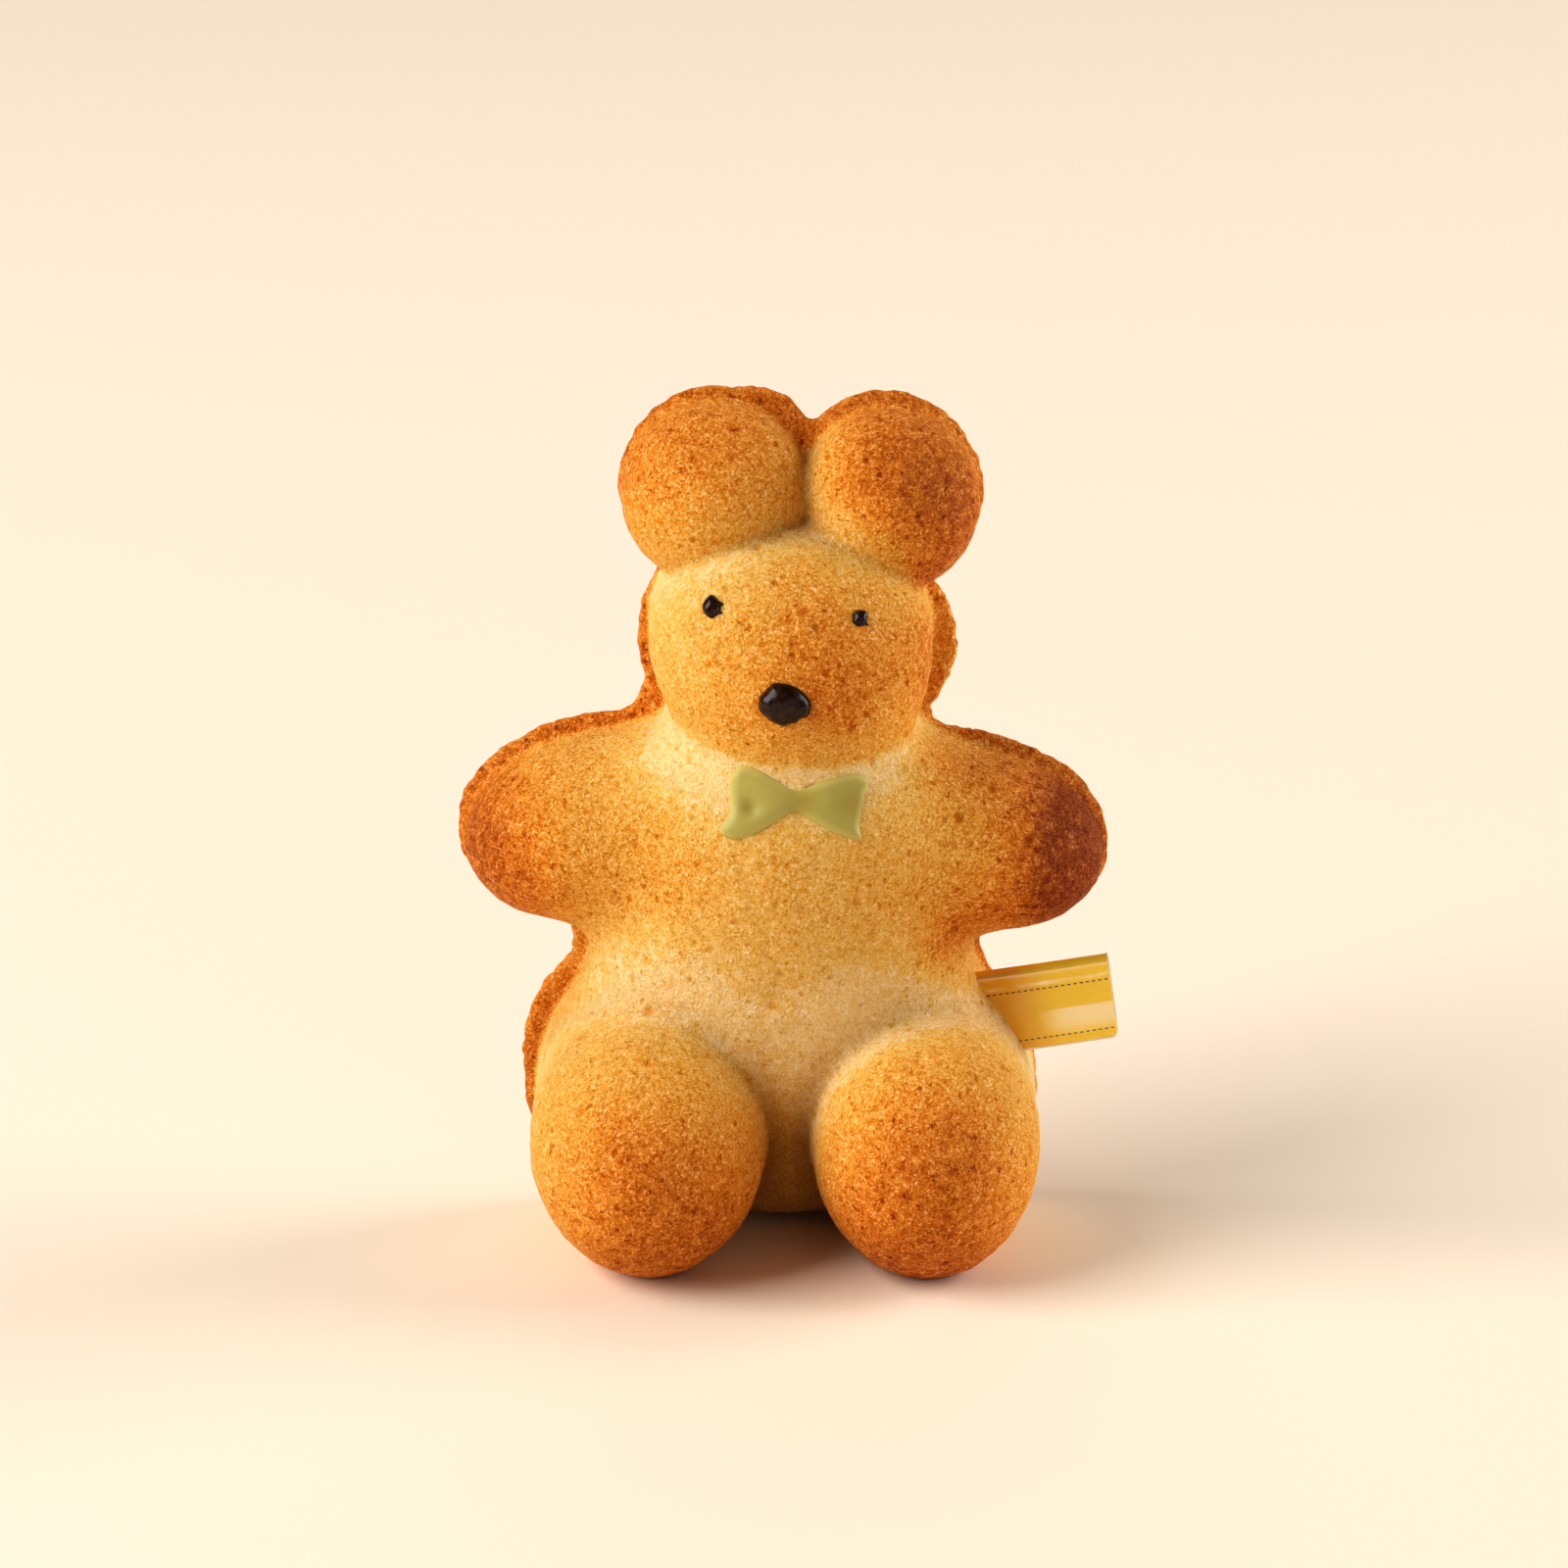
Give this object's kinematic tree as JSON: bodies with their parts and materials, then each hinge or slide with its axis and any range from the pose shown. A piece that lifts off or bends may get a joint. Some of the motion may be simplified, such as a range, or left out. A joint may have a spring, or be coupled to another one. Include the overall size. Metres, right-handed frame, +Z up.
{
  "type": "butter cake",
  "caption": "Small moulded butter cake in the shape of a sitting teddy bear, with chocolate eyes and nose, an icing bow tie and a folded paper tag.",
  "frame": {"origin": "middle of the bounding box in plan, on the surface the cake stands on", "axes": "+Z up through the head, -Y out of the face, +X towards the side with the tag"},
  "size_m": [0.0774, 0.0392, 0.0997],
  "materials": {
    "baked_crumb": "golden baked crumb, browned at the tips, pale in the creases",
    "chocolate": "set dark chocolate with a soft gloss",
    "green_icing": "smooth set icing, slightly see-through at its edges",
    "yellow_paper": "glossy coated paper with two dark green dashed lines"
  },
  "bodies": {
    "root": {"cake": "baked_crumb", "eye_left": "chocolate", "eye_right": "chocolate", "nose": "chocolate", "bow_tie": "green_icing", "tag": "yellow_paper"}
  },
  "joints": []
}
